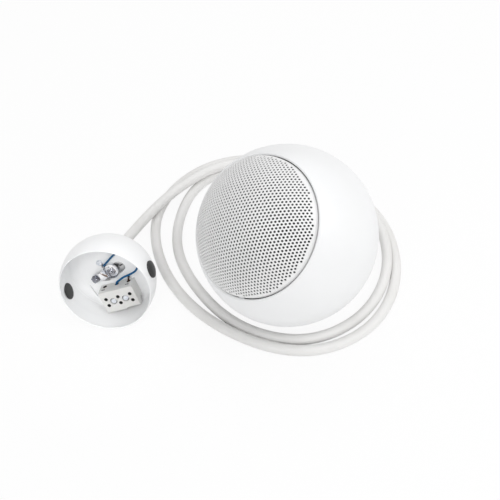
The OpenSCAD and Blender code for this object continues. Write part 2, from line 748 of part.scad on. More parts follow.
ball_shell();
grille();
acoustic_cloth();
baffle_ring();
baffle_screws();
driver_basket();
driver_gasket();
surround();
cone();
dust_cap();
spider();
voice_coil();
top_plate();
magnet();
pole_piece();
driver_screws();
tag_strip();
transformer_bracket();
transformer_core();
transformer_bobbin();
transformer_winding();
transformer_screws();
ball_leads();
gland_body();
gland_nut();
canopy_shell();
canopy_bush();
plug_left();
plug_right();
canopy_base();
suspension_plate();
cable_saddle();
saddle_bolts();
far_screw();
terminal_block();
block_screws();
terminal_screws();
terminal_inserts();
blue_core();
brown_core();
cord();
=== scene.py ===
"""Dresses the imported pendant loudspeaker: the ball with its perforated grille, the cable and the canopy."""
import json
import math

import bpy
import numpy as np
from mathutils import Matrix, Vector
from mathutils.geometry import delaunay_2d_cdt


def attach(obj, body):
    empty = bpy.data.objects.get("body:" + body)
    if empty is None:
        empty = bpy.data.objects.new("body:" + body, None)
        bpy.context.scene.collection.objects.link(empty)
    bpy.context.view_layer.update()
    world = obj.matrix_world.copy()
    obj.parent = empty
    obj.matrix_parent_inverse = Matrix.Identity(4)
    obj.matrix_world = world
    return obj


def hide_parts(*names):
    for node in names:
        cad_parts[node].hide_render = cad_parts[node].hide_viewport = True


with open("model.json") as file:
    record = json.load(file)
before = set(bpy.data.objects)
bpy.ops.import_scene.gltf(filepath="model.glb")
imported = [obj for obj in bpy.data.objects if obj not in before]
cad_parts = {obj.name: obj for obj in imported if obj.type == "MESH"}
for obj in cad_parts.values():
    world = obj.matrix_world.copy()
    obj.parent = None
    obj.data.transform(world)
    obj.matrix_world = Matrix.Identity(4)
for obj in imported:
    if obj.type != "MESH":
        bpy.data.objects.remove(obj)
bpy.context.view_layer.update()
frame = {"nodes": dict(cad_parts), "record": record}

# Sizes are in millimetres, as in the part's source, until a mesh is made.
MM = 0.001
BALL_R = 91.5
CANOPY_R = 49.0
BALL_AT = (69.75, 0.0, BALL_R)
CANOPY_AT = (-112.25, -24.0, CANOPY_R)
CORD_R = 5.75

# Camera

CAMERA_AT = (32.78, -546.15, 676.25)
CAMERA_ELEVATION = 48.0
CAMERA_LENS = 57.32


def add_camera():
    """The photograph's camera: it looks down on the ball and the canopy from the front."""
    elevation = math.radians(CAMERA_ELEVATION)
    data = bpy.data.cameras.new("camera")
    data.sensor_width = 36.0
    data.lens = CAMERA_LENS
    data.clip_start = 0.05
    data.clip_end = 20.0
    camera = bpy.data.objects.new("camera", data)
    turn = Matrix.Rotation(math.pi / 2 - elevation, 4, "X")
    camera.matrix_world = Matrix.Translation(Vector(CAMERA_AT) * MM) @ turn
    bpy.context.scene.collection.objects.link(camera)
    bpy.context.scene.camera = camera


# Meshes


def ball_frame():
    """Ball's own frame: Z is the axis of the grille."""
    return (Matrix.Translation(BALL_AT) @ Matrix.Rotation(math.radians(-142), 4, "Z")
            @ Matrix.Rotation(math.radians(46), 4, "Y"))


def canopy_frame():
    """Canopy's own frame: Z is the axis of its mouth, X the axis of its side plugs."""
    return (Matrix.Translation(CANOPY_AT) @ Matrix.Rotation(math.radians(-95), 4, "Z")
            @ Matrix.Rotation(math.radians(75), 4, "Y") @ Matrix.Rotation(math.radians(111), 4, "Z"))


BALL = ball_frame()
CANOPY = canopy_frame()


def add_piece(name, shape, place, look, node, sharp=35.0):
    """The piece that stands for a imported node, its points in millimetres in the frame that place gives."""
    verts, faces = shape
    mesh = bpy.data.meshes.new(name)
    mesh.from_pydata([(place @ Vector(v)) * MM for v in verts], [], faces)
    mesh.validate()
    mesh.update()
    mesh.materials.append(MATERIAL[look])
    mesh.shade_smooth()
    mesh.set_sharp_from_angle(angle=math.radians(sharp))
    piece = bpy.data.objects.new(name, mesh)
    bpy.context.scene.collection.objects.link(piece)
    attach(piece, "root")
    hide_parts(node)
    return piece


def arc(cx, cz, r, start, stop, steps):
    """Points of an arc in the half plane of a lathe, angles in degrees from the radius."""
    angles = [math.radians(start + (stop - start) * i / steps) for i in range(steps + 1)]
    return [(cx + r * math.cos(a), cz + r * math.sin(a)) for a in angles]


def lathe(profile, segments, closed=True):
    """Points and faces of a profile turned round Z; points on the axis become one point."""
    verts = []
    rings = []
    for r, z in profile:
        if r < 1e-6:
            rings.append([len(verts)] * segments)
            verts.append((0.0, 0.0, z))
            continue
        rings.append([len(verts) + i for i in range(segments)])
        for i in range(segments):
            a = 2 * math.pi * i / segments
            verts.append((r * math.cos(a), r * math.sin(a), z))
    faces = []
    pairs = list(zip(rings, rings[1:]))
    if closed:
        pairs.append((rings[-1], rings[0]))
    for low, high in pairs:
        for i in range(segments):
            k = (i + 1) % segments
            corners = []
            for v in (low[i], low[k], high[k], high[i]):
                if v not in corners:
                    corners.append(v)
            if len(corners) > 2:
                faces.append(tuple(corners))
    return verts, faces


def prism(outline, low, high):
    """A straight prism on a counterclockwise outline."""
    n = len(outline)
    verts = [(x, y, low) for x, y in outline] + [(x, y, high) for x, y in outline]
    faces = [(i, (i + 1) % n, (i + 1) % n + n, i + n) for i in range(n)]
    return verts, faces + [tuple(reversed(range(n))), tuple(range(n, 2 * n))]


def block(low, high):
    """A box between two corners."""
    (left, front, bottom), (right, back, top) = low, high
    return prism([(left, front), (right, front), (right, back), (left, back)], bottom, top)


def rod(r, low, high, sides=40):
    """A round rod along Z."""
    return prism(arc(0, 0, r, 0, 360 - 360 / sides, sides - 1), low, high)


def obround(length, width, low, high):
    """A bar along Z with straight sides and two round ends."""
    reach = (length - width) / 2
    return prism(arc(reach, 0, width / 2, -90, 90, 20) + arc(-reach, 0, width / 2, 90, 270, 20), low, high)


def moved(shape, x=0.0, y=0.0, z=0.0, turn=0.0, tilt=0.0, roll=0.0):
    """A shape turned about X by tilt, Y by roll and Z by turn, and then moved."""
    place = (Matrix.Translation((x, y, z)) @ Matrix.Rotation(math.radians(turn), 4, "Z")
             @ Matrix.Rotation(math.radians(roll), 4, "Y") @ Matrix.Rotation(math.radians(tilt), 4, "X"))
    return [tuple(place @ Vector(v)) for v in shape[0]], shape[1]


def joined(*shapes):
    """Several shapes as one list of points and faces."""
    verts = []
    faces = []
    for v, f in shapes:
        faces += [tuple(i + len(verts) for i in face) for face in f]
        verts += v
    return verts, faces


def carved(blank, cuts=(), keep=None, rounding=0.0, steps=3, angle=40.0):
    """The blank without the cuts, inside keep, with its edges rounded."""
    made = []
    for verts, faces in [blank, *cuts] + ([keep] if keep else []):
        mesh = bpy.data.meshes.new("blank")
        mesh.from_pydata(verts, [], faces)
        mesh.validate()
        made.append(bpy.data.objects.new("blank", mesh))
        bpy.context.scene.collection.objects.link(made[-1])
    for tool in made[1:]:
        change = made[0].modifiers.new("cut", "BOOLEAN")
        change.solver = "EXACT"
        change.operation = "INTERSECT" if keep and tool is made[-1] else "DIFFERENCE"
        change.object = tool
    if rounding:
        change = made[0].modifiers.new("round", "BEVEL")
        change.width = rounding
        change.segments = steps
        change.angle_limit = math.radians(angle)
    done = bpy.data.meshes.new_from_object(made[0].evaluated_get(bpy.context.evaluated_depsgraph_get()))
    verts = [tuple(v.co) for v in done.vertices]
    faces = [tuple(f.vertices) for f in done.polygons]
    bpy.data.meshes.remove(done)
    for piece in made:
        mesh = piece.data
        bpy.data.objects.remove(piece)
        bpy.data.meshes.remove(mesh)
    return verts, faces


def spline(points, step):
    """Points about step apart on the natural cubic spline through points."""
    p = np.array(points, float)
    t = np.concatenate([[0.0], np.cumsum(np.linalg.norm(np.diff(p, axis=0), axis=1))])
    h = np.diff(t)
    n = len(p)
    a = np.eye(n)
    b = np.zeros((n, 3))
    for i in range(1, n - 1):
        a[i, i - 1:i + 2] = h[i - 1], 2 * (h[i - 1] + h[i]), h[i]
        b[i] = 6 * ((p[i + 1] - p[i]) / h[i] - (p[i] - p[i - 1]) / h[i - 1])
    m = np.linalg.solve(a, b)
    out = []
    for s in np.linspace(0, t[-1], max(2, int(t[-1] / step) + 1)):
        i = min(int(np.searchsorted(t, s, side="right")) - 1, n - 2)
        u = s - t[i]
        w = t[i + 1] - s
        out.append((m[i] * w ** 3 + m[i + 1] * u ** 3) / (6 * h[i])
                   + (p[i] / h[i] - m[i] * h[i] / 6) * w + (p[i + 1] / h[i] - m[i + 1] * h[i] / 6) * u)
    return np.array(out)


def tube(path, radius, sides):
    """Points and faces of a round tube along a path, with flat ends."""
    path = [Vector(p) for p in path]
    verts = []
    side = None
    for i, p in enumerate(path):
        along = (path[min(i + 1, len(path) - 1)] - path[max(i - 1, 0)]).normalized()
        if side is None:
            side = along.orthogonal().normalized()
        side = (side - along * side.dot(along)).normalized()
        other = along.cross(side)
        for k in range(sides):
            a = 2 * math.pi * k / sides
            verts.append(p + radius * (math.cos(a) * side + math.sin(a) * other))
    faces = []
    for i in range(len(path) - 1):
        for k in range(sides):
            j = (k + 1) % sides
            faces.append((i * sides + k, i * sides + j, (i + 1) * sides + j, (i + 1) * sides + k))
    faces.append(tuple(reversed(range(sides))))
    faces.append(tuple(range((len(path) - 1) * sides, len(path) * sides)))
    return verts, faces


# Materials


def tree(name):
    """A new material with its node tree and its main shader."""
    material = bpy.data.materials.new(name)
    material.use_nodes = True
    nodes = material.node_tree.nodes
    return material, nodes, material.node_tree.links, nodes["Principled BSDF"]


def noise(nodes, links, scale, detail=4.0, stretch=None):
    """A noise texture in the object's own coordinates, which are the part's metres."""
    coords = nodes.new("ShaderNodeTexCoord")
    texture = nodes.new("ShaderNodeTexNoise")
    texture.inputs["Scale"].default_value = scale
    texture.inputs["Detail"].default_value = detail
    if stretch:
        mapping = nodes.new("ShaderNodeMapping")
        mapping.inputs["Scale"].default_value = stretch
        links.new(coords.outputs["Object"], mapping.inputs["Vector"])
        links.new(mapping.outputs["Vector"], texture.inputs["Vector"])
    else:
        links.new(coords.outputs["Object"], texture.inputs["Vector"])
    return texture


def tint(nodes, links, shader, texture, dark, light):
    """Base colour that drifts between two near tones."""
    ramp = nodes.new("ShaderNodeValToRGB")
    ramp.color_ramp.elements[0].position = 0.35
    ramp.color_ramp.elements[0].color = (*dark, 1.0)
    ramp.color_ramp.elements[1].position = 0.65
    ramp.color_ramp.elements[1].color = (*light, 1.0)
    links.new(texture.outputs["Fac"], ramp.inputs["Fac"])
    links.new(ramp.outputs["Color"], shader.inputs["Base Color"])


def rough_range(nodes, links, shader, texture, low, high):
    """Roughness that follows a texture between two values."""
    spread = nodes.new("ShaderNodeMapRange")
    spread.inputs["To Min"].default_value = low
    spread.inputs["To Max"].default_value = high
    links.new(texture.outputs["Fac"], spread.inputs["Value"])
    links.new(spread.outputs["Result"], shader.inputs["Roughness"])


def bump(nodes, links, shader, texture, depth):
    """Relief of depth metres from a texture."""
    node = nodes.new("ShaderNodeBump")
    node.inputs["Distance"].default_value = depth
    links.new(texture.outputs["Fac"], node.inputs["Height"])
    links.new(node.outputs["Normal"], shader.inputs["Normal"])


def finish(name, dark, light, rough, grain=900.0, depth=0.00002, metallic=0.0, stretch=None, specular=0.5):
    """A solid finish with a slow drift of tone, uneven gloss and a fine grain."""
    material, nodes, links, shader = tree(name)
    tint(nodes, links, shader, noise(nodes, links, 25.0), dark, light)
    rough_range(nodes, links, shader, noise(nodes, links, 160.0, 3.0, stretch), *rough)
    bump(nodes, links, shader, noise(nodes, links, grain, 3.0, stretch), depth)
    shader.inputs["Metallic"].default_value = metallic
    shader.inputs["Specular IOR Level"].default_value = specular
    return material


def plating():
    """Bright nickel plate whose base colour is darkened in broad blotches: partly the plate's own unevenness,
    partly painted dark reflections.
    """
    material, nodes, links, shader = tree("steel_bright")
    # Painted reflection: the dark end of this base colour stands in for dark surroundings mirrored in the
    # plate.
    tint(nodes, links, shader, noise(nodes, links, 150.0, 1.0), (0.5, 0.52, 0.56), (0.9, 0.9, 0.91))
    rough_range(nodes, links, shader, noise(nodes, links, 700.0, 3.0), 0.05, 0.12)
    bump(nodes, links, shader, noise(nodes, links, 1500.0, 3.0), 0.00001)
    shader.inputs["Metallic"].default_value = 1.0
    return material


# The darkest and the lightest tone, the range of roughness, and the scale and depth of the grain
LOOKS = {
    "shell_white": ((0.87, 0.875, 0.88), (0.885, 0.89, 0.895), (0.36, 0.46), 1400.0, 0.000012),
    "grille_white": ((0.82, 0.82, 0.82), (0.85, 0.85, 0.85), (0.42, 0.52), 2500.0, 0.000015),
    "cloth_black": ((0.012, 0.012, 0.013), (0.022, 0.022, 0.022), (0.85, 0.95), 3000.0, 0.0001),
    "baffle_black": ((0.02, 0.02, 0.02), (0.035, 0.035, 0.035), (0.5, 0.65)),
    "basket_black": ((0.015, 0.015, 0.015), (0.03, 0.03, 0.03), (0.35, 0.5)),
    "rubber_black": ((0.018, 0.018, 0.018), (0.034, 0.034, 0.034), (0.42, 0.55), 1800.0, 0.00003),
    "cone_paper": ((0.03, 0.03, 0.03), (0.06, 0.06, 0.06), (0.7, 0.85), 1200.0, 0.00008),
    "spider_cloth": ((0.5, 0.33, 0.12), (0.62, 0.42, 0.18), (0.6, 0.8), 2200.0, 0.0001),
    "coil_metal": ((0.55, 0.25, 0.1), (0.7, 0.35, 0.16), (0.3, 0.45)),
    "steel_plain": ((0.42, 0.43, 0.44), (0.62, 0.62, 0.62), (0.28, 0.45), 1500.0, 0.00002),
    "nut_grey": ((0.2, 0.21, 0.25), (0.55, 0.55, 0.57), (0.12, 0.24), 1500.0, 0.00001),
    "zinc_pale": ((0.78, 0.81, 0.86), (0.88, 0.91, 0.96), (0.3, 0.42), 1500.0, 0.00001),
    "magnet_grey": ((0.03, 0.03, 0.032), (0.06, 0.06, 0.064), (0.4, 0.6)),
    "core_grey": ((0.16, 0.17, 0.18), (0.26, 0.27, 0.28), (0.35, 0.5)),
    "bobbin_black": ((0.02, 0.02, 0.02), (0.04, 0.04, 0.04), (0.4, 0.55)),
    "winding_tape": ((0.5, 0.3, 0.03), (0.65, 0.42, 0.07), (0.3, 0.45)),
    "phenolic": ((0.22, 0.1, 0.04), (0.32, 0.16, 0.07), (0.4, 0.55)),
    "canopy_white": ((0.875, 0.88, 0.885), (0.895, 0.9, 0.905), (0.34, 0.44), 1400.0, 0.000012),
    "block_grey": ((0.66, 0.655, 0.64), (0.72, 0.715, 0.7), (0.45, 0.6), 1600.0, 0.00002),
    "brass": ((0.6, 0.42, 0.14), (0.75, 0.55, 0.22), (0.2, 0.35)),
    "core_blue": ((0.0, 0.07, 0.18), (0.0, 0.095, 0.24), (0.4, 0.5)),
    "core_brown": ((0.04, 0.02, 0.012), (0.06, 0.03, 0.018), (0.4, 0.5)),
    "lead_red": ((0.3, 0.01, 0.01), (0.4, 0.02, 0.02), (0.3, 0.42)),
    "cord_white": ((0.79, 0.785, 0.77), (0.83, 0.825, 0.815), (0.4, 0.55), 1100.0, 0.00003),
}
# What a few of the finishes have besides
EXTRAS = {
    "coil_metal": {"metallic": 1.0},
    "steel_plain": {"metallic": 1.0, "stretch": (1.0, 1.0, 12.0)},
    "nut_grey": {"metallic": 1.0},
    "zinc_pale": {"metallic": 0.55},
    "core_grey": {"metallic": 1.0, "stretch": (1.0, 30.0, 1.0)},
    "brass": {"metallic": 1.0},
    "core_blue": {"specular": 0.25},
    "core_brown": {"specular": 0.25},
}


def materials():
    """Every finish by name: one for each slot of the record, and two more metals."""
    made = {name: finish(name, *values, **EXTRAS.get(name, {})) for name, values in LOOKS.items()}
    made["steel_bright"] = plating()
    return made


MATERIAL = materials()


def dress_nodes():
    """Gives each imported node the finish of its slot."""
    slots = {s["node"]: s["material_slot"] for s in frame["record"]["subparts"]}
    for name, node in frame["nodes"].items():
        for s in node.material_slots:
            s.material = MATERIAL[slots[name]]


# Cable

# Heights of the cable's middle: on the floor, and over one more turn of the cable
F = CORD_R
T = 3 * CORD_R
GLAND_FACE = BALL @ Vector((0, 0, -98.7))
BUSH_FACE = CANOPY @ Vector((0, 0, -54.4))
ROUTE = [
    (141, 57, 9.3), (157.5, 81, F), (162, 108, F), (150.5, 133, F), (122.5, 149.5, F),
    (81, 164, F), (42, 182, F), (7, 188, F), (-25, 168.5, F), (-47, 120, F), (-49, 60, F),
    (-24, 1, F), (25, -50, F), (90, -66, F), (148, -37, F), (180, 14, 10), (185, 66, 14),
    (163, 130, T), (121, 177, T), (64, 208, 7), (-4, 204, F), (-51, 168, F), (-75, 116, F),
    (-69, 47, F), (-35, -16, F), (22, -62, F), (92, -80, F), (153, -54, F), (189, 3, F),
    (195, 64, F), (174.5, 125, F), (123, 166, F), (68, 188, 11), (16, 191, 17.5), (-36, 163, 17.5),
    (-80, 109, 17.8), (-100, 66, 24), (-105.5, 46, 30),
]


def add_cord():
    """The cable, from the ball's gland to the canopy's bush, in about two and a half rounds on the floor."""
    bend = spline([BALL @ Vector((0, 0, -105.4)), *ROUTE, CANOPY @ Vector((0, 0, -62.4))], 5.0)
    path = np.vstack([GLAND_FACE, bend, BUSH_FACE])
    path[:, 2] = np.maximum(path[:, 2], CORD_R)
    piece = add_piece("cable", tube(path, CORD_R, 32), Matrix(), "cord_white", "cord", 50.0)


# Ball

SHELL_T = 3.0
MOUTH_R = 69.1
BEAD_R = SHELL_T / 2
BEAD_X = MOUTH_R + BEAD_R
BEAD_Z = math.sqrt((BALL_R - BEAD_R) ** 2 - BEAD_X ** 2)
BAFFLE_Z = BEAD_Z - 6
BAFFLE_TOP = BAFFLE_Z + 4
GRILLE_R = 90.9
GRILLE_T = 1.0
RIM_R = 68.1
BEND_R = 1.4
PITCH = 3.5
HOLE_R = 1.09
HOLE_SIDES = 12
RIM_SIDES = 288
FLAT_R = 90.5
HOLE_ROWS = 135.6
GLAND_HOLE_R = 8.2
LEDGE_IN = 60.0
LUG_ANGLE = 27.8
LUG_W = 5.6


def angle_of(x, z):
    """Angle of a point of a profile, in degrees from the radius."""
    return math.degrees(math.atan2(z, x))


def add_ball_shell():
    """The ball's shell with its rounded lip and the small lug in the groove round the grille."""
    flat = BALL_R - 0.8
    foot = math.sqrt(BALL_R ** 2 - flat ** 2)
    lip = angle_of(BEAD_X, BEAD_Z)
    inner = BALL_R - SHELL_T
    ledge_z = BAFFLE_Z - 3
    profile = [(GLAND_HOLE_R, -flat), (foot, -flat)]
    profile += arc(0, 0, BALL_R, angle_of(foot, -flat), lip, 110)[1:]
    profile += arc(BEAD_X, BEAD_Z, BEAD_R, lip, 180, 12)[1:]
    profile += [(MOUTH_R, BAFFLE_Z), (LEDGE_IN, BAFFLE_Z), (LEDGE_IN, ledge_z)]
    wall = math.sqrt(inner ** 2 - ledge_z ** 2)
    profile += arc(0, 0, inner, angle_of(wall, ledge_z), angle_of(GLAND_HOLE_R, -inner), 60)
    lug = block((RIM_R + 0.1, -LUG_W / 2, BEAD_Z - 4), (MOUTH_R + 0.6, LUG_W / 2, BEAD_Z - 0.4))
    lug = moved(lug, turn=LUG_ANGLE)
    add_piece("shell", joined(lathe(profile, 224), lug), BALL, "shell_white", "ball_shell", 40.0)


def hole_centres():
    """Centres of the grille's holes on the flattened sheet, in staggered rows."""
    row = math.radians(HOLE_ROWS)
    u = Vector((math.cos(row), math.sin(row))) * PITCH
    v = Vector((math.cos(row + math.pi / 3), math.sin(row + math.pi / 3))) * PITCH
    limit = flat_radius(edge_angle()) - HOLE_R - 0.15
    count = int(2.4 * limit / PITCH)
    start = 0.41 * u + 0.69 * v
    spots = [start + i * u + j * v for i in range(-count, count) for j in range(-count, count)]
    return [p for p in spots if p.length < limit]


def edge_angle():
    """Angle from the grille's axis at which the dome meets the bend of its rim."""
    return math.asin((RIM_R - BEND_R) / (GRILLE_R - BEND_R))


def flat_radius(angle):
    """Distance from the flattened sheet's middle of a point that far from the axis of the dome."""
    return 2 * FLAT_R * math.sin(angle / 2)


def on_dome(x, y, r):
    """The point of the dome of radius r over a point of the flattened sheet."""
    d = math.hypot(x, y)
    angle = 2 * math.asin(d / 2 / FLAT_R)
    if d < 1e-9:
        return (0.0, 0.0, r)
    return (r * math.sin(angle) * x / d, r * math.sin(angle) * y / d, r * math.cos(angle))


def add_grille():
    """The steel grille: a dome of sheet with all its holes, bent down round its edge."""
    flat = []
    for centre in hole_centres():
        for k in range(HOLE_SIDES):
            a = 2 * math.pi * k / HOLE_SIDES
            flat.append(centre + HOLE_R * Vector((math.cos(a), math.sin(a))))
    holes = len(flat)
    edge = flat_radius(edge_angle())
    for k in range(RIM_SIDES):
        a = 2 * math.pi * k / RIM_SIDES
        flat.append(edge * Vector((math.cos(a), math.sin(a))))
    loops = [(i, i + 1 if (i + 1) % HOLE_SIDES else i + 1 - HOLE_SIDES) for i in range(holes)]
    loops += [(holes + k, holes + (k + 1) % RIM_SIDES) for k in range(RIM_SIDES)]
    _, _, triangles, origins, _, _ = delaunay_2d_cdt(flat, loops, [], 0, 1e-7)
    source = [o[0] for o in origins]
    verts = [on_dome(p.x, p.y, GRILLE_R) for p in flat]
    verts += [on_dome(p.x, p.y, GRILLE_R - GRILLE_T) for p in flat]
    faces = []
    for triangle in triangles:
        a, b, c = (source[i] for i in triangle)
        if max(a, b, c) < holes and a // HOLE_SIDES == b // HOLE_SIDES == c // HOLE_SIDES:
            continue
        faces.append((a, b, c))
        faces.append((c + len(flat), b + len(flat), a + len(flat)))
    for a, b in loops[:holes]:
        faces.append((a, a + len(flat), b + len(flat), b))
    bend = math.degrees(edge_angle())
    cx = RIM_R - BEND_R
    cz = math.sqrt((GRILLE_R - BEND_R) ** 2 - cx ** 2)
    profile = arc(cx, cz, BEND_R, 90 - bend, 0, 6)[1:] + [(RIM_R, BAFFLE_TOP), (RIM_R - GRILLE_T, BAFFLE_TOP)]
    profile += arc(cx, cz, BEND_R - GRILLE_T, 0, 90 - bend, 3)[:-1]
    rings = [[holes + k for k in range(RIM_SIDES)]]
    for r, z in profile:
        rings.append([len(verts) + k for k in range(RIM_SIDES)])
        for k in range(RIM_SIDES):
            a = 2 * math.pi * k / RIM_SIDES
            verts.append((r * math.cos(a), r * math.sin(a), z))
    rings.append([len(flat) + holes + k for k in range(RIM_SIDES)])
    for low, high in zip(rings, rings[1:]):
        for k in range(RIM_SIDES):
            j = (k + 1) % RIM_SIDES
            faces.append((low[k], high[k], high[j], low[j]))
    add_piece("grille_sheet", (verts, faces), BALL, "grille_white", "grille", 50.0)


# Canopy

CANOPY_T = 2.2
CANOPY_IN = CANOPY_R - CANOPY_T
MOUTH_H = 15.0
BUSH_HOLE_R = 6.7
LIP_T = 0.8
LIP_LIFT = 2.0
LIP_TILT = 0.6
LIP_SPREAD = 1.4
LOW_SIDE = 250


def opened(point):
    """A point of the bowl, lifted near the lip and widened there on its low side."""
    x, y, z = point
    if z <= 0:
        return point
    part = (z / MOUTH_H) ** 2
    side = math.cos(math.atan2(y, x) - math.radians(LOW_SIDE))
    wide = 1 + LIP_SPREAD * max(side, 0) ** 2 * part / CANOPY_IN
    return (x * wide, y * wide, z + (LIP_LIFT + LIP_TILT * side) * part)


def add_canopy_shell():
    """The canopy's bowl, its wall thinned towards a fine rounded lip."""
    bead = LIP_T / 2
    bead_z = MOUTH_H - bead
    bead_x = math.sqrt((CANOPY_R - bead) ** 2 - bead_z ** 2)
    flat = CANOPY_R - 0.6
    foot = math.sqrt(CANOPY_R ** 2 - flat ** 2)
    lip = angle_of(bead_x, bead_z)
    profile = [(BUSH_HOLE_R, -flat), (foot, -flat)]
    profile += arc(0, 0, CANOPY_R, angle_of(foot, -flat), lip, 70)[1:]
    profile += arc(bead_x, bead_z, bead, lip, lip + 180, 8)[1:]
    for step in range(1, 17):
        part = step / 16
        wall = LIP_T + (CANOPY_T - LIP_T) * part * part * (3 - 2 * part)
        turn = math.radians(lip * (1 - part))
        profile.append(((CANOPY_R - wall) * math.cos(turn), (CANOPY_R - wall) * math.sin(turn)))
    profile += arc(0, 0, CANOPY_IN, 0, angle_of(BUSH_HOLE_R, -CANOPY_IN), 60)[1:]
    verts, faces = lathe(profile, 160)
    bowl = [opened(point) for point in verts], faces
    add_piece("canopy", bowl, CANOPY, "canopy_white", "canopy_shell", 40.0)


# Inside of the canopy

BASE_TOP = -20.0
POCKET_AT = (-1.3, -1.65)
POCKET_TURN = 20.0
CLAMP_AT = (-11.4, -1.3)
CLAMP_TURN = 15.7
BOLT_GAP = 20.7
FAR_AT = (-9.8, 12.5)
GROOVE_AT = (-30.9, -19.1)
GROOVE_TURN = 9.1
BLUE_HOLE_AT = (-7.3, 7)
BLUE_R = 1.08
BROWN_R = 0.9
BLOCK_AT = (-1.2, -27.5)
BLOCK_L = 38.5
BLOCK_W = 25.5
BLOCK_H = 16.0
POLE_PITCH = 13.8
POLE_H = 4.6
WELL_R = 2.0
WELL_Y = 4
ENTRY_R = 2.3
SINK_R = 3.9
SINK_Y = -0.4
SLOT_Z = 10.2
SLOT_X = -0.8


def in_pocket(shape, x=0.0, y=0.0):
    """A shape in the frame of the base's long recess."""
    return moved(moved(shape, x, y), *POCKET_AT, turn=POCKET_TURN)


def on_clamp(shape, x=0.0):
    """A shape in the frame of the cable clamp, x along the clamp."""
    return moved(moved(shape, x), *CLAMP_AT, BASE_TOP, turn=CLAMP_TURN)


def slotted_head(r, height, slot, turn=0.0):
    """A pan head with a straight slot, its seat on z = 0."""
    profile = [(0, -1.0), (r * 0.5, -1.0), (r * 0.5, 0), (r, 0), (r, height * 0.45)]
    profile += arc(r * 0.7, height * 0.45, r * 0.3, 0, 80, 5)[1:] + [(r * 0.35, height), (0, height * 1.03)]
    cut = block((-r - 1, -slot / 2, height * 0.5), (r + 1, slot / 2, height + 2))
    return moved(carved(lathe(profile, 40, closed=False), [cut], rounding=0.08, steps=2), turn=turn)


def add_base():
    """The white dish in the canopy: raised floor, rounded up to the bowl, with its recess."""
    rise = 8.5
    run = 36.1
    bowl = CANOPY_IN - 0.15
    low = BASE_TOP - 4
    rim_z = -14.2
    rim = math.sqrt(bowl ** 2 - rim_z ** 2)
    profile = [(0, low)]
    profile += arc(0, 0, bowl, angle_of(math.sqrt(bowl ** 2 - low ** 2), low), angle_of(rim, rim_z), 12)
    profile += arc(run, BASE_TOP + rise, rise, -20, -90, 14)
    profile += [(24, BASE_TOP), (12, BASE_TOP), (0, BASE_TOP)]
    cuts = [in_pocket(obround(32.5, 13, low - 1, 0)), moved(rod(2.6, low - 1, 0), *BLUE_HOLE_AT),
            moved(rod(1.7, low - 1, 0), BLOCK_AT[0] + POLE_PITCH, BLOCK_AT[1] + 15.15)]
    dish = carved(lathe(profile, 128, closed=False), cuts, rounding=0.55, steps=4, angle=50)
    groove = moved(block((-0.35, -7.7, BASE_TOP - 2.4), (0.35, 7.7, 0)), *GROOVE_AT, turn=GROOVE_TURN)
    dish = carved(dish, [groove])
    add_piece("dish", dish, CANOPY, "canopy_white", "canopy_base")
    slots = [in_pocket(obround(4.4, 1.3, -30, 0), 8.5, 1.9), in_pocket(obround(4.4, 1.3, -30, 0), 12.3, 0),
             on_clamp(rod(2.1, -9, 9), BOLT_GAP / 2)]
    plate = in_pocket(obround(32.2, 12.7, BASE_TOP - 3, BASE_TOP - 1.5))
    plate = carved(plate, slots, rounding=0.12, steps=2)
    add_piece("hook_plate", plate, CANOPY, "steel_plain", "suspension_plate")


def add_clamp():
    """The pressed saddle with its dished end and its two bolts, and the screw beside it."""
    sheet = 1.4
    arch = 2.6
    half = BOLT_GAP / 2 + 4.5
    outline = [(half - 4, 0), (half - 4, sheet)] + arc(-1, -1.6, arch + sheet + 3.4, 26, 154, 32)
    outline += [(-half, sheet), (-half, 0)] + arc(-1, -1.6, arch + 3.4, 154, 26, 28)
    strap = moved(prism(outline, -4.6, 4.6), tilt=90)
    strap = carved(on_clamp(strap), keep=on_clamp(obround(2 * half, 9.2, -1, 12)), rounding=0.25, steps=3)
    cup = [(0, 0.1), (7.2, 0.1)] + arc(7.2, 1.5, 1.4, -90, 45, 8)[1:] + arc(7.2, 1.5, 0.6, 45, -60, 5)
    cup += [(5.6, 1.2), (0, 1.2)]
    ring = on_clamp(moved(lathe(cup, 72, closed=False), BOLT_GAP / 2 - 0.4, -1.2, 0.3, tilt=-4))
    add_piece("saddle", joined(strap, ring), CANOPY, "steel_bright", "cable_saddle")
    bolts = []
    for x, y, z, turn in ((-BOLT_GAP / 2, 0, sheet, 35), (BOLT_GAP / 2 - 1, -2, 1.5, 80)):
        nut = carved(block((-3.4, -3.4, 0), (3.4, 3.4, 3.1)), keep=rod(4.5, -1, 9, 48), rounding=0.2)
        bolts.append(on_clamp(moved(joined(nut, moved(slotted_head(3.0, 2.2, 1.0, turn), z=3.1)), x, y, z)))
    add_piece("bolts", joined(*bolts), CANOPY, "nut_grey", "saddle_bolts")
    head = moved(slotted_head(3.2, 2.8, 0.9, 60), *FAR_AT, BASE_TOP)
    add_piece("far_screw", head, CANOPY, "zinc_pale", "far_screw")


def in_painted_shade(x, y, z):
    """Whether a point of the block, in the block's frame, lies in a well, an entry, a sink or a slot: the
    hollows whose walls get painted shade.
    """
    poles = [i * POLE_PITCH for i in (-1, 0, 1)]
    sinks = [s * POLE_PITCH / 2 for s in (-1, 1)]
    well = min(math.hypot(x - p, abs(y) - WELL_Y) for p in poles) < WELL_R + 0.2 and 1 < z < BLOCK_H - 0.8
    entry = min(math.hypot(x - p, z - POLE_H) for p in poles) < ENTRY_R + 0.2 and abs(y) < BLOCK_W / 2 - 0.6
    sink = min(math.hypot(x - p, y - SINK_Y) for p in sinks) < SINK_R + 0.1 and 8 < z < BLOCK_H - 1.5
    near_slot = min(math.hypot(x - p - SLOT_X, z - SLOT_Z) for p in (poles[0], poles[2])) < 2.3
    slot = near_slot and 9 < y < BLOCK_W / 2 - 0.3
    return well or entry or sink or slot


